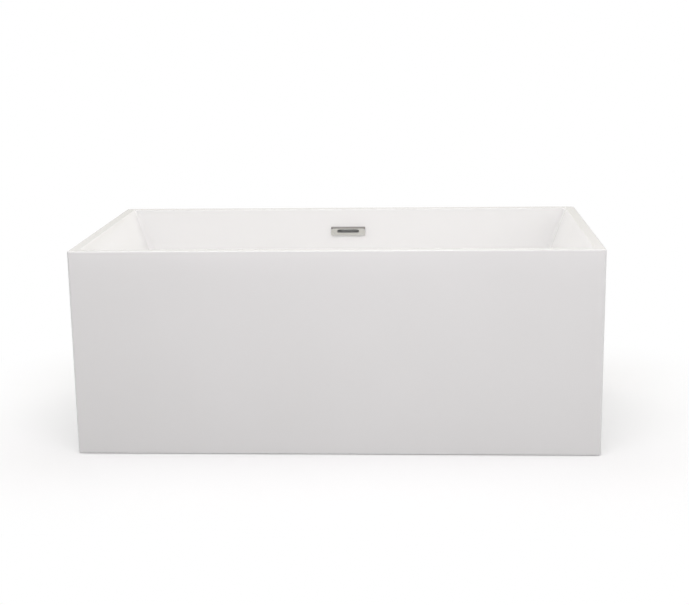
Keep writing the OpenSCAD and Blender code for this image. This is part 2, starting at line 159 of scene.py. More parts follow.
def revolve(name, profile, steps=96, centre=(0, 0), closed=False):
    """Spins (radius, z) points round a vertical axis. Points at radius 0 close the ends."""
    verts, faces, rows = [], [], []
    for r, z in profile:
        if r < 1e-7:
            rows.append([len(verts)]); verts.append((centre[0], centre[1], z))
        else:
            row = []
            for k in range(steps):
                a = 2 * math.pi * k / steps
                row.append(len(verts)); verts.append((centre[0] + r * math.cos(a), centre[1] + r * math.sin(a), z))
            rows.append(row)
    pairs = list(zip(rows, rows[1:])) + ([(rows[-1], rows[0])] if closed else [])
    for a, b in pairs:
        for k in range(steps):
            k2 = (k + 1) % steps
            if len(a) == 1 and len(b) == 1:
                break
            if len(a) == 1:
                faces.append((a[0], b[k2], b[k]))
            elif len(b) == 1:
                faces.append((a[k], a[k2], b[0]))
            else:
                faces.append((a[k], a[k2], b[k2], b[k]))
    mesh = bpy.data.meshes.new(name)
    mesh.from_pydata(verts, [], faces)
    bm = bmesh.new(); bm.from_mesh(mesh)
    bmesh.ops.recalc_face_normals(bm, faces=bm.faces)
    bm.to_mesh(mesh); bm.free()
    mesh.shade_smooth()
    return new_object(name, mesh)


# --------------------------------------------------------------------------
# materials
# --------------------------------------------------------------------------
def material(name):
    m = bpy.data.materials.new(name)
    m.use_nodes = True
    nt = m.node_tree
    nt.nodes.clear()
    out = nt.nodes.new("ShaderNodeOutputMaterial")
    bsdf = nt.nodes.new("ShaderNodeBsdfPrincipled")
    nt.links.new(bsdf.outputs[0], out.inputs[0])
    coord = nt.nodes.new("ShaderNodeTexCoord")
    return m, nt, bsdf, coord.outputs["Object"]


def noise(nt, vec, scale, detail=3.0, rough=0.5, stretch=None):
    if stretch:
        mp = nt.nodes.new("ShaderNodeMapping")
        mp.inputs["Scale"].default_value = stretch
        nt.links.new(vec, mp.inputs["Vector"])
        vec = mp.outputs[0]
    t = nt.nodes.new("ShaderNodeTexNoise")
    t.inputs["Scale"].default_value = scale
    t.inputs["Detail"].default_value = detail
    t.inputs["Roughness"].default_value = rough
    nt.links.new(vec, t.inputs["Vector"])
    return t.outputs["Fac"]


def span(nt, fac, lo, hi, a=0.3, b=0.7):
    m = nt.nodes.new("ShaderNodeMapRange")
    m.inputs["From Min"].default_value = a
    m.inputs["From Max"].default_value = b
    m.inputs["To Min"].default_value = lo
    m.inputs["To Max"].default_value = hi
    nt.links.new(fac, m.inputs["Value"])
    return m.outputs[0]


def ramp(nt, fac, stops):
    r = nt.nodes.new("ShaderNodeValToRGB")
    els = r.color_ramp.elements
    while len(els) < len(stops):
        els.new(0.5)
    for e, (p, c) in zip(els, stops):
        e.position = p
        e.color = (*c, 1)
    nt.links.new(fac, r.inputs[0])
    return r.outputs[0]


def bump(nt, bsdf, height, strength, distance, chain=None):
    b = nt.nodes.new("ShaderNodeBump")
    b.inputs["Strength"].default_value = strength
    b.inputs["Distance"].default_value = distance
    nt.links.new(height, b.inputs["Height"])
    if chain is not None:
        nt.links.new(chain, b.inputs["Normal"])
    nt.links.new(b.outputs[0], bsdf.inputs["Normal"])
    return b.outputs[0]


def acrylic():
    """Gloss white sanitary acrylic: even colour, faint mottling, a slow drawn ripple, fine polish marks."""
    m, nt, p, c = material("acrylic")
    col = ramp(nt, noise(nt, c, 2.2, 2.0), [(0.30, (0.862, 0.862, 0.856)), (0.70, (0.878, 0.878, 0.873))])
    nt.links.new(col, p.inputs["Base Color"])
    nt.links.new(span(nt, noise(nt, c, 9.0, 4.0), 0.075, 0.130), p.inputs["Roughness"])
    p.inputs["IOR"].default_value = 1.49
    wave = bump(nt, p, noise(nt, c, 3.2, 1.0), 0.20, 0.0012)
    bump(nt, p, noise(nt, c, 900.0, 2.0), 0.02, 0.0001, wave)
    return m


def laminate():
    """Glass-fibre laminate on the back of the acrylic: rough, slightly yellow, with chopped strands."""
    m, nt, p, c = material("laminate")
    a = noise(nt, c, 60.0, 3.0, 0.6, (1, 6, 2))
    b = noise(nt, c, 60.0, 3.0, 0.6, (6, 1, 3))
    mix = nt.nodes.new("ShaderNodeMath"); mix.operation = "MAXIMUM"
    nt.links.new(a, mix.inputs[0]); nt.links.new(b, mix.inputs[1])
    col = ramp(nt, mix.outputs[0], [(0.35, (0.62, 0.60, 0.50)), (0.55, (0.74, 0.73, 0.65)), (0.75, (0.82, 0.81, 0.76))])
    nt.links.new(col, p.inputs["Base Color"])
    nt.links.new(span(nt, a, 0.35, 0.62), p.inputs["Roughness"])
    bump(nt, p, mix.outputs[0], 0.6, 0.0012)
    return m


def chrome():
    """Polished chrome with faint wiping marks."""
    m, nt, p, c = material("chrome")
    col = ramp(nt, noise(nt, c, 14.0, 2.0), [(0.3, (0.74, 0.735, 0.725)), (0.7, (0.79, 0.785, 0.78))])
    nt.links.new(col, p.inputs["Base Color"])
    p.inputs["Metallic"].default_value = 1.0
    nt.links.new(span(nt, noise(nt, c, 45.0, 4.0, 0.6, (1, 1, 4)), 0.05, 0.13), p.inputs["Roughness"])
    bump(nt, p, noise(nt, c, 220.0, 2.0), 0.03, 0.0002)
    return m


def metal(name, dark, light, rough, scale=35.0, stretch=None, bump_h=0.0002, strength=0.25, metallic=1.0):
    m, nt, p, c = material(name)
    f = noise(nt, c, scale, 4.0, 0.6, stretch)
    nt.links.new(ramp(nt, f, [(0.3, dark), (0.7, light)]), p.inputs["Base Color"])
    p.inputs["Metallic"].default_value = metallic
    nt.links.new(span(nt, noise(nt, c, scale * 2.3, 3.0), rough[0], rough[1]), p.inputs["Roughness"])
    bump(nt, p, noise(nt, c, scale * 9, 3.0, 0.6, stretch), strength, bump_h)
    return m


def plastic(name, dark, light, rough, grain=380.0, strength=0.12, ior=1.5):
    m, nt, p, c = material(name)
    nt.links.new(ramp(nt, noise(nt, c, 12.0, 3.0), [(0.3, dark), (0.7, light)]), p.inputs["Base Color"])
    nt.links.new(span(nt, noise(nt, c, 30.0, 3.0), rough[0], rough[1]), p.inputs["Roughness"])
    p.inputs["IOR"].default_value = ior
    bump(nt, p, noise(nt, c, grain, 3.0), strength, 0.0002)
    return m


def wood(name, along, tones, grain=26.0, rough=(0.55, 0.75)):
    """Sawn softwood or board: long fibres along one axis, slow rings across it."""
    m, nt, p, c = material(name)
    stretch = {"x": (0.06, 1, 1), "y": (1, 0.06, 1)}[along]
    f = noise(nt, c, grain, 6.0, 0.62, stretch)
    slow = noise(nt, c, grain * 0.3, 3.0, 0.5, stretch)
    add = nt.nodes.new("ShaderNodeMath"); add.operation = "MULTIPLY_ADD"
    nt.links.new(slow, add.inputs[0]); add.inputs[1].default_value = 0.6
    nt.links.new(f, add.inputs[2])
    nt.links.new(ramp(nt, add.outputs[0], [(0.55, tones[0]), (0.78, tones[1]), (1.0, tones[2])]), p.inputs["Base Color"])
    nt.links.new(span(nt, f, rough[0], rough[1]), p.inputs["Roughness"])
    bump(nt, p, noise(nt, c, grain * 5, 4.0, 0.6, stretch), 0.35, 0.0004)
    return m


MAT = {
    "acrylic": acrylic(),
    "laminate": laminate(),
    "chrome": chrome(),
    "timber_x": wood("timber_x", "x", [(0.42, 0.27, 0.13), (0.60, 0.43, 0.24), (0.72, 0.56, 0.35)]),
    "timber_y": wood("timber_y", "y", [(0.42, 0.27, 0.13), (0.60, 0.43, 0.24), (0.72, 0.56, 0.35)]),
    "plywood": wood("plywood", "x", [(0.40, 0.29, 0.16), (0.53, 0.40, 0.24), (0.62, 0.49, 0.32)], 14.0, (0.4, 0.6)),
    "frame_steel": metal("frame_steel", (0.24, 0.25, 0.26), (0.30, 0.31, 0.32), (0.38, 0.52), 60.0, None, 0.0003, 0.30, 0.0),
    "zinc_steel": metal("zinc_steel", (0.55, 0.57, 0.58), (0.70, 0.70, 0.68), (0.24, 0.40), 55.0, None, 0.0002, 0.20),
    "brass": metal("brass", (0.66, 0.47, 0.19), (0.80, 0.61, 0.28), (0.20, 0.34), 60.0, (1, 1, 8), 0.0001, 0.20),
    "black_plastic": plastic("black_plastic", (0.020, 0.020, 0.022), (0.035, 0.035, 0.037), (0.38, 0.55)),
    "black_rubber": plastic("black_rubber", (0.014, 0.014, 0.014), (0.026, 0.026, 0.026), (0.60, 0.80), 260.0, 0.30),
    "white_plastic": plastic("white_plastic", (0.74, 0.75, 0.75), (0.80, 0.81, 0.81), (0.25, 0.38)),
    "hose_plastic": plastic("hose_plastic", (0.50, 0.52, 0.54), (0.58, 0.60, 0.62), (0.32, 0.45)),
}


def dress(obj, *names):
    obj.data.materials.clear()
    for n in names:
        obj.data.materials.append(MAT[n])
    return obj


# --------------------------------------------------------------------------
# basin: one closed shell, wet face, rim, and laminated back
# --------------------------------------------------------------------------
def wall_half(z, top, slope, fz, r, rim=None):
    """Half size of the basin at height z: floor arc, leaning wall and, with rim, the rounded inner edge of the rim."""
    a = math.atan(slope)
    tz = fz + r - r * math.sin(a)
    if z < tz:
        cx = top - slope * (H - tz) - r * math.cos(a)
        return cx + math.sqrt(max(0.0, r * r - (fz + r - z) ** 2))
    line = top - slope * (H - z)
    if rim:
        k = math.sqrt(1 + slope * slope)
        if z > H - rim + rim * slope / k:
            return top + rim * (k - slope) - math.sqrt(max(0.0, rim * rim - (z - H + rim) ** 2))
    return line


def corner_radius(z, t=0.0):
    return IN_R + t + IN_GROW * (H - z)


def basin_rings():
    rings, mats = [], []
    def add(ring, mat):
        rings.append(ring); mats.append(mat)
    fz = FLOOR_Z + FALL
    # hole and seat of the waste
    for r, z in ((0.0250, 0.1580), (0.0250, 0.1604), (0.0256, 0.1610), (0.0355, 0.1610), (0.0364, 0.1614),
                 (0.0366, 0.1625), (0.0366, 0.1638), (0.0370, 0.16455), (0.0379, 0.16490), (0.0400, 0.16500)):
        add(circle_ring(r, z), 0)
    # floor, falling to the waste
    flat_x = wall_half(fz, HL - RIM, S_END, fz, FLOOR_R)
    flat_y = wall_half(fz, HW - RIM, S_SIDE, fz, FLOOR_R)
    edge = outline(flat_x, flat_y, corner_radius(fz), fz)
    hub = circle_ring(0.060, 0.1652)
    add(hub, 0)
    for t in (0.12, 0.28, 0.46, 0.64, 0.82, 0.93):
        ring = mix_ring(hub, edge, t)
        add([(x, y, 0.1652 + (fz - 0.1652) * (t * t * (2.2 - 1.2 * t))) for x, y, _ in ring], 0)
    # floor radius
    for k in range(0, 15):
        a = math.radians(90 - 72 * k / 14)
        z = fz + FLOOR_R - FLOOR_R * math.sin(a)
        add(outline(wall_half(z, HL - RIM, S_END, fz, FLOOR_R), wall_half(z, HW - RIM, S_SIDE, fz, FLOOR_R),
                    corner_radius(z), z), 0)
    # walls
    z0, z1 = fz + FLOOR_R - FLOOR_R * math.sin(math.radians(8)), H - R_IN
    for k in range(0, 13):
        z = z0 + (z1 - z0) * k / 12
        add(outline(wall_half(z, HL - RIM, S_END, fz, FLOOR_R), wall_half(z, HW - RIM, S_SIDE, fz, FLOOR_R),
                    corner_radius(z), z), 0)
    # rounded inner edge of the rim
    for k in range(1, 13):
        a = math.radians(7.5 * k)
        z = H - R_IN + R_IN * math.sin(a)
        if k == 12:
            z = H
        hx = wall_half(z, HL - RIM, S_END, fz, FLOOR_R, R_IN)
        hy = wall_half(z, HW - RIM, S_SIDE, fz, FLOOR_R, R_IN)
        grow = hy - (HW - RIM - S_SIDE * (H - z))
        add(outline(hx, hy, corner_radius(z) + grow, z), 0)
    # flat of the rim and its rounded outer edge
    add(outline(HL - RIM * 0.5, HW - RIM * 0.5, 0.0065, H), 0)
    for k in range(0, 10):
        a = math.radians(10 * k)
        add(outline(HL - R_TOP + R_TOP * math.sin(a), HW - R_TOP + R_TOP * math.sin(a),
                    R_OUT - R_TOP + R_TOP * math.sin(a), H - R_TOP + R_TOP * math.cos(a)), 0)
    add(outline(HL, HW, R_OUT, SEAM), 0)
    # underside of the rim, then the laminated back of the basin
    t_end, t_side = WALL_T * math.sqrt(1 + S_END ** 2), WALL_T * math.sqrt(1 + S_SIDE ** 2)
    def back(z):
        return (wall_half(z, HL - RIM + t_end, S_END, FLOOR_Z - WALL_T, FLOOR_R + WALL_T),
                wall_half(z, HW - RIM + t_side, S_SIDE, FLOOR_Z - WALL_T, FLOOR_R + WALL_T))
    hx, hy = back(SEAM)
    add(outline(HL - SKIRT_T, HW - SKIRT_T, 0.004, SEAM), 1)
    add(outline(hx + 0.004, hy + 0.003, 0.018, SEAM), 1)
    hx, hy = back(SEAM - 0.004)
    add(outline(hx, hy, corner_radius(SEAM - 0.004, WALL_T), SEAM - 0.004), 1)
    bz = FLOOR_Z - WALL_T + (FLOOR_R + WALL_T) * (1 - math.sin(math.radians(8)))
    for k in range(1, 9):
        z = SEAM - 0.004 + (bz - SEAM + 0.004) * k / 8
        hx, hy = back(z)
        add(outline(hx, hy, corner_radius(z, WALL_T), z), 1)
    for k in range(1, 11):
        a = math.radians(18 + 72 * k / 10)
        z = FLOOR_Z - WALL_T + (FLOOR_R + WALL_T) * (1 - math.sin(a))
        hx, hy = back(z)
        add(outline(hx, hy, corner_radius(z, WALL_T), z), 1)
    edge = rings[-1]
    hub = circle_ring(0.060, FLOOR_Z - WALL_T)
    for t in (0.35, 0.7, 1.0):
        add(mix_ring(edge, hub, t), 1)
    mats[-1] = 1
    return rings, mats


rings, mats = basin_rings()
basin = loft("basin", rings, wrap=True, mats=mats)
dress(basin, "acrylic", "laminate")


def stadium_prism(name, w, h, y0, y1, n=24):
    """Bar with half-round ends on the back wall, in the wall's own tilted frame."""
    pts = []
    for k in range(n + 1):
        a = math.radians(-90 + 180 * k / n)
        pts.append(((w - h) / 2 + h / 2 * math.cos(a), h / 2 * math.sin(a)))
    for k in range(n + 1):
        a = math.radians(90 + 180 * k / n)
        pts.append((-(w - h) / 2 + h / 2 * math.cos(a), h / 2 * math.sin(a)))
    rings = [[(x, y, z) for x, z in pts] for y in (y0, y1)]
    return loft(name, rings, wrap=False, cap_start=True, cap_end=True)


PLATE_DROP = 0.0725
TILT = math.atan(S_SIDE)
WALL = Matrix.Translation((0, HW - RIM - S_SIDE * PLATE_DROP, H - PLATE_DROP)) @ Matrix.Rotation(-TILT, 4, "X")

# the overflow opening is cut through the wall behind the plate
cutter = stadium_prism("overflow_cutter", 0.080, 0.014, -0.004, 0.012)
cutter.data.transform(WALL)
cut = basin.modifiers.new("overflow_opening", "BOOLEAN")
cut.operation = "DIFFERENCE"
cut.solver = "EXACT"
cut.object = cutter
bpy.context.view_layer.update()
dg = bpy.context.evaluated_depsgraph_get()
mesh = bpy.data.meshes.new_from_object(basin.evaluated_get(dg))
basin.modifiers.clear()
basin.data = mesh
mesh.name = "basin"
bpy.data.objects.remove(cutter)
mesh.shade_smooth()
mesh.set_sharp_from_angle(angle=math.radians(50))
weighted(basin)
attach(basin, "root")
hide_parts("basin_shell")


# --------------------------------------------------------------------------
# skirt: four plain sides in one moulding, lip at the foot
# --------------------------------------------------------------------------
def skirt_rings():
    rings = []
    def add(hx, hy, r, z):
        rings.append(outline(hx, hy, r, z))
    for z in (SEAM, SEAM - 0.06, SEAM - 0.15, SEAM - 0.25, SEAM - 0.35, SEAM - 0.45, SEAM - 0.54, FOOT + 0.0022):
        add(HL, HW, R_OUT, z)
    rb = 0.0018
    for k in range(1, 7):
        a = math.radians(15 * k)
        add(HL - rb + rb * math.cos(a), HW - rb + rb * math.cos(a), R_OUT - rb + rb * math.cos(a), FOOT + rb - rb * math.sin(a))
    ix, iy = HL - SKIRT_T, HW - SKIRT_T
    add(ix - LIP + 0.001, iy - LIP + 0.001, 0.010, FOOT)
    add(ix - LIP, iy - LIP, 0.010, FOOT + 0.001)
    add(ix - LIP, iy - LIP, 0.010, FOOT + SKIRT_T - 0.001)
    add(ix - LIP + 0.001, iy - LIP + 0.001, 0.010, FOOT + SKIRT_T)
    add(ix - 0.004, iy - 0.004, 0.004, FOOT + SKIRT_T)
    add(ix - 0.0012, iy - 0.0012, 0.004, FOOT + SKIRT_T + 0.0012)
    add(ix, iy, 0.0035, FOOT + SKIRT_T + 0.004)
    for z in (0.10, 0.20, 0.30, 0.40, 0.50, SEAM):
        add(ix, iy, 0.0035, z)
    mats = [0] * 14 + [0] + [1] * (len(rings) - 15)
    return rings, mats


rings, mats = skirt_rings()
skirt = loft("skirt", rings, wrap=True, mats=mats)
dress(skirt, "acrylic", "laminate")
weighted(skirt)
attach(skirt, "root")
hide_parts("outer_skirt")


# --------------------------------------------------------------------------
# overflow plate: thin-walled cover with rolled edges and a long slot
# --------------------------------------------------------------------------
def plate_outline(w, h, r, y, n=10, nx=24, nz=6):
    """Rounded rectangle ring in the XZ plane, from the middle of the +X side."""
    ring = outline(w / 2, h / 2, r, 0.0, n, nx // 2, nz // 2)
    return [(x, y, z) for x, z, _ in ring]


def slot_outline(w, h, y, n=10, nx=24, nz=6):
    """Stadium ring with as many points as plate_outline(), matched quarter by quarter."""
    r = h / 2
    half = (w - h) / 2
    pts = []
    m = n + nx // 2 + nz // 2
    for q in range(4):
        quarter = []
        arc = n + nz // 2
        for i in range(arc):
            a = math.radians(90 * i / arc)
            quarter.append((half + r * math.cos(a), r * math.sin(a)))
        for i in range(nx // 2):
            t = i / (nx // 2)
            quarter.append((half * (1 - t), r))
        full = quarter + [(0.0, r)]
        if q == 0:
            seg = [(x, z) for x, z in full[:-1]]
        elif q == 1:
            seg = [(-x, z) for x, z in full[::-1][:-1]]
        elif q == 2:
            seg = [(-x, -z) for x, z in full[:-1]]
        else:
            seg = [(x, -z) for x, z in full[::-1][:-1]]
        pts += seg
    return [(x, y, z) for x, z in pts]


PLATE_W, PLATE_H, PLATE_D, PLATE_ROLL = 0.1130, 0.0300, 0.0080, 0.0070


def overflow_plate():
    W, Hh, D, R = PLATE_W, PLATE_H, PLATE_D, PLATE_ROLL
    sw, sh = 0.0720, 0.0100
    zr, yr = Hh / 2 - R, R - D
    def rolled(ring):
        """Keeps a ring behind the big radius along the top of the plate."""
        out = []
        for x, y, z in ring:
            if z > zr:
                y = max(y, yr - math.sqrt(max(0.0, R * R - (z - zr) ** 2)))
            out.append((x, y, z))
        return out
    rings = []
    e = 0.0012
    rings.append(plate_outline(W, Hh, 0.0030, 0.0))
    rings.append(rolled(plate_outline(W, Hh, 0.0030, -D + e)))
    for k in range(1, 9):
        a = math.radians(90 * k / 8)
        s = e * (1 - math.cos(a))
        rings.append(rolled(plate_outline(W - 2 * s, Hh - 2 * s, 0.0030 - s * 0.8, -D + e - e * math.sin(a))))
    # front face to the slot, whose edge is rolled in
    rs = 0.0008
    edge = plate_outline(W - 2 * e, Hh - 2 * e, 0.0030 - e * 0.8, -D)
    lip = slot_outline(sw + 2 * rs + 0.003, sh + 2 * rs + 0.003, -D)
    for k in range(1, 14):
        rings.append(rolled(mix_ring(edge, lip, k / 14)))
    rings.append(lip)
    for k in range(0, 8):
        a = math.radians(90 * k / 7)
        s = rs * (1 - math.sin(a))
        rings.append(slot_outline(sw + 2 * s, sh + 2 * s, -D + rs * (1 - math.cos(a))))
    rings.append(slot_outline(sw, sh, -D + 0.0020))
    rings.append(slot_outline(sw + 0.004, sh + 0.004, -D + 0.0022))
    rings.append(plate_outline(W - 0.0100, Hh - 0.0100, 0.0015, -D + 0.0022))
    rings.append(plate_outline(W - 0.0060, Hh - 0.0060, 0.0018, -D + 0.0042))
    rings.append(plate_outline(W - 0.0060, Hh - 0.0060, 0.0018, 0.0))
    obj = loft("overflow_cover", rings, wrap=True)
    bm = bmesh.new(); bm.from_mesh(obj.data)
    bmesh.ops.remove_doubles(bm, verts=bm.verts, dist=2e-6)
    bmesh.ops.dissolve_degenerate(bm, dist=1e-6, edges=bm.edges)
    bm.to_mesh(obj.data); bm.free()
    obj.data.shade_smooth()
    obj.data.transform(WALL)
    return obj


cover = overflow_plate()
dress(cover, "chrome")
weighted(cover)
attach(cover, "root")
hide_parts("overflow_plate")


# --------------------------------------------------------------------------
# waste: flange with its threaded barrel and crossbar, and the domed cap of the plug
# --------------------------------------------------------------------------
def arc(r0, z0, rad, a0, a1, n):
    """Points (r, z) on a quarter round, angles in degrees."""
    return [(r0 + rad * math.cos(math.radians(a0 + (a1 - a0) * k / n)),
             z0 + rad * math.sin(math.radians(a0 + (a1 - a0) * k / n))) for k in range(n + 1)]


def join(name, parts):
    """One object from several: their meshes merged into one, the parts themselves removed."""
    bm = bmesh.new()
    for p in parts:
        bm.from_mesh(p.data)
    mesh = bpy.data.meshes.new(name)
    bm.to_mesh(mesh); bm.free()
    for p in parts:
        bpy.data.objects.remove(p)
    mesh.shade_smooth()
    return new_object(name, mesh)


def sharpen(obj, degrees=38.0):
    obj.data.set_sharp_from_angle(angle=math.radians(degrees))
    return obj


def crossbar(name, z0, h, half=0.0025, reach=0.0204, hub=0.0080, hole=0.00405, e=0.0005):
    """Four arms and a drilled hub that carry the middle of the waste."""
    outer = []
    start = math.degrees(math.asin(half / hub))
    for q in range(4):
        pts = [(reach, -half), (reach, half)]
        pts += [(hub * math.cos(math.radians(a)), hub * math.sin(math.radians(a)))
                for a in [start + (90 - 2 * start) * k / 8 for k in range(9)]]
        c, s = [(1, 0), (0, 1), (-1, 0), (0, -1)][q]
        outer += [(c * x - s * y, s * x + c * y) for x, y in pts]
    def shrink(pts, d):
        n, out = len(pts), []
        for i in range(n):
            a, b, c = Vector(pts[i - 1]), Vector(pts[i]), Vector(pts[(i + 1) % n])
            u, v = (b - a).normalized(), (c - b).normalized()
            n1, n2 = Vector((-u.y, u.x)), Vector((-v.y, v.x))
            m = n1 + n2
            m = m / max(m.length_squared, 1e-9) * 2
            out.append((b.x + m.x * d, b.y + m.y * d))
        return out
    angles = [math.atan2(y, x) for x, y in outer]
    inner = lambda r, z: [(r * math.cos(a), r * math.sin(a), z) for a in angles]
    tight = shrink(outer, e)
    rings = [[(x, y, z0 + e) for x, y in outer], [(x, y, z0 + h - e) for x, y in outer],
             [(x, y, z0 + h) for x, y in tight], inner(hole + e, z0 + h), inner(hole, z0 + h - e),
             inner(hole, z0 + e), inner(hole + e, z0), [(x, y, z0) for x, y in tight]]
    return loft(name, rings, wrap=True)


WF_LO, WF_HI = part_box("waste_flange")
zb, zt = WF_LO.z, WF_HI.z
profile = [(0.0200, zb + 0.0004), (0.0204, zb), (0.0216, zb), (0.0222, zb + 0.0006)]
z = zb + 0.0015
while z < zt - 0.0125:                                  # thread of the barrel, 2 mm pitch
    profile += [(0.0217, z), (0.0217, z + 0.0003), (0.0225, z + 0.0009), (0.0225, z + 0.0012)]
    z += 0.0020
profile += [(0.0221, z + 0.0004), (0.0221, zt - 0.0045), (0.0224, zt - 0.0026)]
profile += [(0.0228, zt - 0.0025), (0.0344, zt - 0.0025)] + arc(0.0345, zt - 0.0020, 0.0005, -80, 0, 3)
profile += arc(0.0341, zt - 0.0009, 0.0009, 0, 90, 6)
profile += [(0.0320, zt), (0.0290, zt), (0.0262, zt), (0.0240, zt)] + arc(0.0223, zt - 0.0023, 0.0023, 82, 180, 8)
flange = join("waste_flange_polished", [revolve("barrel", profile, 128, closed=True),
                                        crossbar("cross", zb + 0.012, 0.006)])
dress(flange, "chrome")
sharpen(flange)
weighted(flange)
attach(flange, "root")
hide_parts("waste_flange")

PC_LO, PC_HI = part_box("plug_cap")
zc, rc = PC_HI.z, PC_HI.x
zu = zc - 0.0054                                        # underside of the cap
profile = [(0.0, PC_LO.z), (0.0078, PC_LO.z)] + arc(0.0082, PC_LO.z + 0.0008, 0.0008, -80, 0, 4)
profile += [(0.0090, zu - 0.0006), (0.0096, zu)] + [(0.0296, zu)] + arc(0.0300, zu + 0.0010, 0.0010, -80, 0, 5)
profile += arc(rc - 0.0017, zu + 0.00185, 0.0017, 10, 78, 7)
for k in range(1, 15):
    r = (rc - 0.0018) * (1 - k / 15)
    profile.append((r, zc - 0.00195 * (r / (rc - 0.0013)) ** 2.2))
profile.append((0.0, zc))
cap = revolve("plug_cap_polished", profile, 128)
dress(cap, "chrome")
sharpen(cap, 45.0)
weighted(cap)
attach(cap, "plug")
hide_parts("plug_cap")


# --------------------------------------------------------------------------
# overflow hose: corrugated between two plain cuffs
# --------------------------------------------------------------------------
HOSE = [(0, 378, 487), (0, 378, 459), (0, 377, 420), (0, 374, 370), (0, 369, 310), (0, 362, 255), (0, 351, 205),
        (0, 332, 162), (0, 304, 128), (0, 268, 107), (0, 228, 98), (0, 188, 95), (0, 143, 97), (0, 102, 98), (0, 64, 98)]
HOSE = [Vector(p) * 0.001 for p in HOSE]


def on_hose(u):
    i = min(int(u), len(HOSE) - 2)
    t = u - i
    a, b, c, d = HOSE[max(i - 1, 0)], HOSE[i], HOSE[i + 1], HOSE[min(i + 2, len(HOSE) - 1)]
    return 0.5 * ((2 * b) + (c - a) * t + (2 * a - 5 * b + 4 * c - d) * t * t + (3 * b - a - 3 * c + d) * t ** 3)


def hose_piece():
    fine = [on_hose((len(HOSE) - 1) * k / 1400) for k in range(1401)]
    run = [0.0]
    for p, q in zip(fine, fine[1:]):
        run.append(run[-1] + (q - p).length)
    total = run[-1]
    def at(s):
        lo, hi = 0, len(run) - 1
        while hi - lo > 1:
            mid = (lo + hi) // 2
            if run[mid] <= s:
                lo = mid
            else:
                hi = mid
        t = (s - run[lo]) / max(run[hi] - run[lo], 1e-9)
        d = (fine[hi] - fine[lo]).normalized()
        return fine[lo].lerp(fine[hi], t), d
    cuff, pitch, sides = 0.024, 0.0046, 20
    count = int((total - 2 * cuff) / pitch)
    pitch = (total - 2 * cuff) / count
    stations = [(0.0, 0.0106), (0.0006, 0.0110), (cuff - 0.0012, 0.0110), (cuff - 0.0004, 0.0104)]
    for k in range(count):
        for f, r in ((0.06, 0.00965), (0.24, 0.0100), (0.40, 0.0108), (0.56, 0.0110), (0.72, 0.0108), (0.88, 0.0100)):
            stations.append((cuff + (k + f) * pitch, r))
    stations += [(total - cuff + 0.0004, 0.0104), (total - cuff + 0.0012, 0.0110), (total - 0.0006, 0.0110), (total, 0.0106)]
    def ring(s, r):
        c, d = at(min(max(s, 0.0), total))
        if s <= 0.0005:
            d = Vector((0, 0, -1))
        elif s >= total - 0.0005:
            d = Vector((0, -1, 0))
        n = Vector((0, -d.z, d.y))
        return [tuple(c + r * math.cos(2 * math.pi * (k + 0.5) / sides) * Vector((1, 0, 0))
                      + r * math.sin(2 * math.pi * (k + 0.5) / sides) * n) for k in range(sides)]
    rings = [ring(s, r) for s, r in stations]
    inner = 60
    rings += [ring(total * (1 - k / inner), 0.0090) for k in range(inner + 1)]
    return loft("overflow_hose_ribbed", rings, wrap=True)


hose = hose_piece()
dress(hose, "hose_plastic")
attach(hose, "root")
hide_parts("overflow_hose")


# --------------------------------------------------------------------------
# feet: threaded stems, one thread turn to each 1.75 mm
# --------------------------------------------------------------------------
PITCH = 0.00175


def thread(name, z0, z1, r_out=0.0060, r_in=0.00505, steps=20, centre=(0, 0)):
    """Helical thread with flat crests and roots, bevelled at both ends."""
    prof = [(0.00, r_in), (0.12, r_in), (0.44, r_out), (0.56, r_out), (0.88, r_in)]
    prof = prof[1:]
    verts, faces = [], []
    turns = int((z1 - z0) / PITCH) + 3
    total = turns * steps
    m = len(prof)
    for s in range(total + 1):
        base = z0 + PITCH * (s / steps - 1.5)
        a = 2 * math.pi * (s % steps) / steps
        for f, r in prof:
            z = base + f * PITCH
            lim = min(r_out, 0.0046 + max(0.0, min(z - z0, z1 - z)) * 1.0)
            zz = min(max(z, z0), z1)
            rr = min(r, lim)
            verts.append((centre[0] + rr * math.cos(a), centre[1] + rr * math.sin(a), zz))
    for s in range(total):
        for j in range(m - 1):
            faces.append((s * m + j, (s + 1) * m + j, (s + 1) * m + j + 1, s * m + j + 1))
        if s + 1 + steps <= total:
            faces.append((s * m + m - 1, (s + 1) * m + m - 1, (s + 1 + steps) * m, (s + steps) * m))
    mesh = bpy.data.meshes.new(name)
    mesh.from_pydata(verts, [], faces)
    bm = bmesh.new(); bm.from_mesh(mesh)
    bmesh.ops.remove_doubles(bm, verts=bm.verts, dist=2e-6)
    bmesh.ops.dissolve_degenerate(bm, dist=1e-6, edges=bm.edges)
    edges = [e for e in bm.edges if len(e.link_faces) == 1]
    bmesh.ops.holes_fill(bm, edges=edges, sides=0)
    loose = [v for v in bm.verts if not v.link_faces]
    bmesh.ops.delete(bm, geom=loose, context="VERTS")
    bmesh.ops.recalc_face_normals(bm, faces=bm.faces)
    bm.to_mesh(mesh); bm.free()
    return new_object(name, mesh)


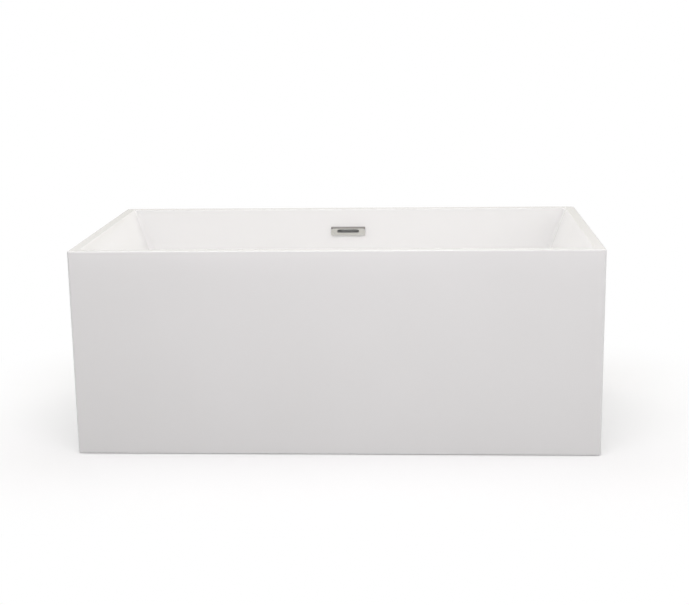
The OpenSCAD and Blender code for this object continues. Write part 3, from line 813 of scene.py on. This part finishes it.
for side in ("front_left", "front_right", "back_left", "back_right"):
    node = "foot_stem_" + side
    lo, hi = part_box(node)
    cx, cy = (lo.x + hi.x) / 2, (lo.y + hi.y) / 2
    z0, z1 = lo.z, hi.z
    spigot = revolve("spigot", [(0.0, z0), (0.0044, z0), (0.0050, z0 + 0.0006), (0.0050, z0 + 0.0093), (0.0, z0 + 0.0093)],
                     40, (cx, cy))
    hexagon = revolve("hexagon", [(0.0, z0 + 0.0090), (0.0094, z0 + 0.0090), (0.0104, z0 + 0.0096),
                                  (0.0104, z0 + 0.0153), (0.0094, z0 + 0.0159), (0.0, z0 + 0.0159)], 6, (cx, cy))
    neck = revolve("neck", [(0.0, z0 + 0.0155), (0.0056, z0 + 0.0155), (0.0050, z0 + 0.0165), (0.0050, z0 + 0.0185),
                            (0.0, z0 + 0.0185)], 40, (cx, cy))
    stem = join("threaded_stem_" + side, [spigot, hexagon, neck, thread("thread", z0 + 0.0180, z1, centre=(cx, cy))])
    dress(stem, "zinc_steel")
    sharpen(stem, 30.0)
    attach(stem, node)
    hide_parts(node)


# --------------------------------------------------------------------------
# carried-over CAD nodes: softened edges and their own materials
# --------------------------------------------------------------------------
def keep(node, mat, bevel=0.0, angle=35.0, segs=2):
    obj = NODES[node]
    dress(obj, mat)
    obj.data.shade_smooth()
    if bevel:
        w = obj.modifiers.new("joined", "WELD")
        w.merge_threshold = 2e-6
        d = obj.modifiers.new("whole_faces", "DECIMATE")
        d.decimate_type = "DISSOLVE"
        d.angle_limit = math.radians(0.5)
        b = obj.modifiers.new("soft_edges", "BEVEL")
        b.width = bevel
        b.segments = segs
        b.limit_method = "ANGLE"
        b.angle_limit = math.radians(angle)
        b.harden_normals = False
        b.use_clamp_overlap = True
    weighted(obj)
    return obj


SLOT_OF = {s["node"]: s["material_slot"] for s in frame["record"]["subparts"]}
BEVELS = {
    "rim_batten_front": 0.0015, "rim_batten_back": 0.0015, "rim_batten_left": 0.0015, "rim_batten_right": 0.0015,
    "base_board": 0.0015, "long_rail_front": 0.0006, "long_rail_back": 0.0006, "cross_rail_left": 0.0006,
    "cross_rail_right": 0.0006, "rail_end_caps": 0.0006, "skirt_bracket_front_left": 0.0005,
    "skirt_bracket_front_right": 0.0005, "skirt_bracket_back_left": 0.0005, "skirt_bracket_back_right": 0.0005,
}
replaced = {"basin_shell", "outer_skirt", "overflow_plate", "waste_flange", "plug_cap", "overflow_hose",
            "foot_stem_front_left", "foot_stem_front_right", "foot_stem_back_left", "foot_stem_back_right"}
for node in sorted(NODES):
    if node in replaced:
        continue
    slot = SLOT_OF[node]
    mat = slot
    if slot == "timber":
        mat = "timber_x" if node.endswith(("front", "back")) else "timber_y"
    keep(node, mat, BEVELS.get(node, 0.0003))


# --------------------------------------------------------------------------
# camera, floor, light
# --------------------------------------------------------------------------
scene = bpy.context.scene
scene.view_settings.view_transform = "Standard"
scene.view_settings.look = "None"

YAW, PITCH, ROLL = -0.05832, 0.22045, -0.01456
FOCAL_PX = 1320.9
cam_data = bpy.data.cameras.new("camera")
cam_data.sensor_fit = "HORIZONTAL"
cam_data.sensor_width = 36.0
cam_data.lens = FOCAL_PX / 689.0 * 36.0
cam_data.clip_start, cam_data.clip_end = 0.05, 200.0
cam = bpy.data.objects.new("camera", cam_data)
scene.collection.objects.link(cam)
cp, sp = math.cos(PITCH), math.sin(PITCH)
fwd = Vector((math.sin(YAW) * cp, math.cos(YAW) * cp, -sp))
right = Vector((math.cos(YAW), -math.sin(YAW), 0.0))
up = right.cross(fwd)
right2 = right * math.cos(ROLL) + up * math.sin(ROLL)
up2 = -right * math.sin(ROLL) + up * math.cos(ROLL)
rot = Matrix((right2, up2, -fwd)).transposed()
cam.matrix_world = Matrix.Translation((0.2379, -3.9911, 1.2541)) @ rot.to_4x4()
scene.camera = cam

# pale floor: near white to the camera, but only mid grey in the light it throws back onto the tub; to the camera it
# also glows white, a painted glow that lifts the shadow at the tub's foot and becomes plain white 0.6 m out
fm = bpy.data.meshes.new("floor")
fm.from_pydata([(-60, -60, 0), (60, -60, 0), (60, 60, 0), (-60, 60, 0)], [], [(0, 1, 2, 3)])
floor = new_object("floor", fm)
m, nt, p, c = material("floor_paint")
lp = nt.nodes.new("ShaderNodeLightPath")
tone = nt.nodes.new("ShaderNodeMix"); tone.data_type = "RGBA"; tone.name = "floor_tone"
tone.inputs["A"].default_value = (0.50, 0.50, 0.50, 1)      # what it throws back onto the tub
nt.links.new(ramp(nt, noise(nt, c, 1.5, 3.0), [(0.3, (0.965, 0.965, 0.965)), (0.7, (0.98, 0.98, 0.98))]), tone.inputs["B"])
nt.links.new(lp.outputs["Is Camera Ray"], tone.inputs["Factor"])
nt.links.new(tone.outputs["Result"], p.inputs["Base Color"])
nt.links.new(span(nt, noise(nt, c, 6.0, 3.0), 0.62, 0.72), p.inputs["Roughness"])
p.inputs["Specular IOR Level"].default_value = 0.1
away = c
for op, v in (("ABSOLUTE", None), ("SUBTRACT", (HL, HW, 0.0)), ("MAXIMUM", (0.0, 0.0, 0.0)), ("LENGTH", None)):
    step = nt.nodes.new("ShaderNodeVectorMath"); step.operation = op
    nt.links.new(away, step.inputs[0])
    if v is not None:
        step.inputs[1].default_value = v
    away = step.outputs["Value"] if op == "LENGTH" else step.outputs[0]
# painted glow: for camera rays the floor is mixed with white emission, a third of the way at the tub's foot and fully
# 0.6 m out, so the tub's shadow is painted paler
glow_weight = nt.nodes.new("ShaderNodeMapRange"); glow_weight.interpolation_type = "SMOOTHSTEP"; glow_weight.name = "floor_glow_weight"
glow_weight.inputs["From Min"].default_value = 0.02
glow_weight.inputs["From Max"].default_value = 0.60
glow_weight.inputs["To Min"].default_value = 0.35
nt.links.new(away, glow_weight.inputs["Value"])
fac = nt.nodes.new("ShaderNodeMath"); fac.operation = "MULTIPLY"
nt.links.new(glow_weight.outputs[0], fac.inputs[0]); nt.links.new(lp.outputs["Is Camera Ray"], fac.inputs[1])
glow = nt.nodes.new("ShaderNodeEmission"); glow.inputs["Color"].default_value = (1, 1, 1, 1)
glow_mix = nt.nodes.new("ShaderNodeMixShader"); glow_mix.name = "floor_camera_glow"
nt.links.new(fac.outputs[0], glow_mix.inputs[0])
nt.links.new(p.outputs[0], glow_mix.inputs[1]); nt.links.new(glow.outputs[0], glow_mix.inputs[2])
nt.links.new(glow_mix.outputs[0], [n for n in nt.nodes if n.type == "OUTPUT_MATERIAL"][0].inputs[0])
floor.data.materials.append(m)

# soft studio: a pale room, even with broad lobes of light; plain white where the camera sees it directly.
# What polished metal sees is the same room, calmer, under a darker and slightly warm ceiling.
AMBIENT = (0.241, 0.234, 0.230)
LOBES = [                                              # direction, sharpness, strength
    ((0, -1, 0.25), 2, (0.026, 0.026, 0.026)),     # in front
    ((-1, 0, 0.25), 2, (0.665, 0.658, 0.648)),     # left
    ((1, 0, 0.25), 2, (0.661, 0.646, 0.632)),     # right
]
SEEN_AMBIENT = (0.608, 0.597, 0.551)
SEEN_LOBES = [
    ((1, 1, 0.1), 6, (0.130, 0.130, 0.130)),     # behind, to the right
    ((0, -1, 0.25), 2, (0.133, 0.133, 0.133)),     # in front
]
world = bpy.data.worlds.new("studio")
scene.world = world
world.use_nodes = True
wn = world.node_tree
wn.nodes.clear()
wout = wn.nodes.new("ShaderNodeOutputWorld")
wdir = wn.nodes.new("ShaderNodeTexCoord").outputs["Generated"]


def room_light(ambient, lobes):
    start = wn.nodes.new("ShaderNodeCombineXYZ")
    for k in range(3):
        start.inputs[k].default_value = ambient[k]
    total = start.outputs[0]
    for direction, power, strength in lobes:
        dot = wn.nodes.new("ShaderNodeVectorMath"); dot.operation = "DOT_PRODUCT"
        wn.links.new(wdir, dot.inputs[0]); dot.inputs[1].default_value = Vector(direction).normalized()
        pos = wn.nodes.new("ShaderNodeMath"); pos.operation = "MAXIMUM"; pos.inputs[1].default_value = 0.0
        wn.links.new(dot.outputs["Value"], pos.inputs[0])
        fall = wn.nodes.new("ShaderNodeMath"); fall.operation = "POWER"; fall.inputs[1].default_value = power
        wn.links.new(pos.outputs[0], fall.inputs[0])
        part = wn.nodes.new("ShaderNodeVectorMath"); part.operation = "SCALE"
        part.inputs[0].default_value = strength
        wn.links.new(fall.outputs[0], part.inputs["Scale"])
        add = wn.nodes.new("ShaderNodeVectorMath"); add.operation = "ADD"
        wn.links.new(total, add.inputs[0]); wn.links.new(part.outputs[0], add.inputs[1])
        total = add.outputs[0]
    return total


lit = room_light(AMBIENT, LOBES)
sep = wn.nodes.new("ShaderNodeSeparateXYZ"); wn.links.new(wdir, sep.inputs[0])
ceil = wn.nodes.new("ShaderNodeMapRange"); ceil.interpolation_type = "SMOOTHSTEP"
ceil.inputs["From Min"].default_value = 0.20
ceil.inputs["From Max"].default_value = 0.36
wn.links.new(sep.outputs["Z"], ceil.inputs["Value"])
shade = wn.nodes.new("ShaderNodeMix"); shade.data_type = "RGBA"
shade.inputs["A"].default_value = (1.0, 1.0, 1.0, 1)
shade.inputs["B"].default_value = (0.37, 0.34, 0.37, 1)
wn.links.new(ceil.outputs[0], shade.inputs["Factor"])
zenith = wn.nodes.new("ShaderNodeMapRange"); zenith.interpolation_type = "SMOOTHSTEP"
zenith.inputs["From Min"].default_value = 0.62
zenith.inputs["From Max"].default_value = 0.97
wn.links.new(sep.outputs["Z"], zenith.inputs["Value"])
overhead = wn.nodes.new("ShaderNodeMix"); overhead.data_type = "RGBA"
overhead.inputs["B"].default_value = (0.66, 0.64, 0.66, 1)
wn.links.new(zenith.outputs[0], overhead.inputs["Factor"])
wn.links.new(shade.outputs["Result"], overhead.inputs["A"])
mirrored = wn.nodes.new("ShaderNodeVectorMath"); mirrored.operation = "MULTIPLY"
wn.links.new(room_light(SEEN_AMBIENT, SEEN_LOBES), mirrored.inputs[0])
wn.links.new(overhead.outputs["Result"], mirrored.inputs[1])
paths = wn.nodes.new("ShaderNodeLightPath")
pick = wn.nodes.new("ShaderNodeMix"); pick.data_type = "RGBA"
wn.links.new(paths.outputs["Is Glossy Ray"], pick.inputs["Factor"])
wn.links.new(lit, pick.inputs["A"]); wn.links.new(mirrored.outputs[0], pick.inputs["B"])
room = wn.nodes.new("ShaderNodeBackground")
wn.links.new(pick.outputs["Result"], room.inputs["Color"])
plain = wn.nodes.new("ShaderNodeBackground")
plain.inputs["Color"].default_value = (1, 1, 1, 1)
seen = wn.nodes.new("ShaderNodeMixShader")
wn.links.new(paths.outputs["Is Camera Ray"], seen.inputs[0])
wn.links.new(room.outputs[0], seen.inputs[1]); wn.links.new(plain.outputs[0], seen.inputs[2])
wn.links.new(seen.outputs[0], wout.inputs[0])


def softbox(name, loc, target, size, energy, colour=(1, 1, 1)):
    ld = bpy.data.lights.new(name, "AREA")
    ld.shape = "RECTANGLE"
    ld.size, ld.size_y = size
    ld.energy = energy
    ld.color = colour
    lo = bpy.data.objects.new(name, ld)
    scene.collection.objects.link(lo)
    lo.location = loc
    lo.rotation_mode = "QUATERNION"
    lo.rotation_quaternion = (Vector(target) - Vector(loc)).to_track_quat("-Z", "Y")
    lo.visible_camera = False
    lo.visible_glossy = False
    return lo


softbox("softbox_right", (2.2, -3.0, 1.6), (0, 0, 0.3), (1.6, 1.4), 11.14, (0.992, 0.990, 1.000))
softbox("softbox_top", (0, 0, 2.4), (0, 0, 0.3), (2.4, 1.6), 6.82, (1.000, 0.989, 0.959))
softbox("softbox_back", (0, 2.0, 2.4), (0, 0, 0.3), (3, 1.5), 28.06, (1.000, 0.983, 0.928))
softbox("softbox_front", (0, -1.8, 2.2), (0, 0, 0.3), (2.4, 1.2), 29.81, (0.996, 0.966, 1.000))
softbox("softbox_low_left", (-2.3, 0, 0.33), (0, 0, 0.33), (0.8, 0.45), 4.5, (0.90, 0.95, 1.0))
softbox("softbox_low_right", (2.3, 0, 0.33), (0, 0, 0.33), (0.8, 0.45), 4.5, (0.90, 0.95, 1.0))
softbox("softbox_low_back", (0, 1.9, 0.33), (0, 0, 0.33), (1.5, 0.45), 6.0, (0.86, 0.91, 1.0))
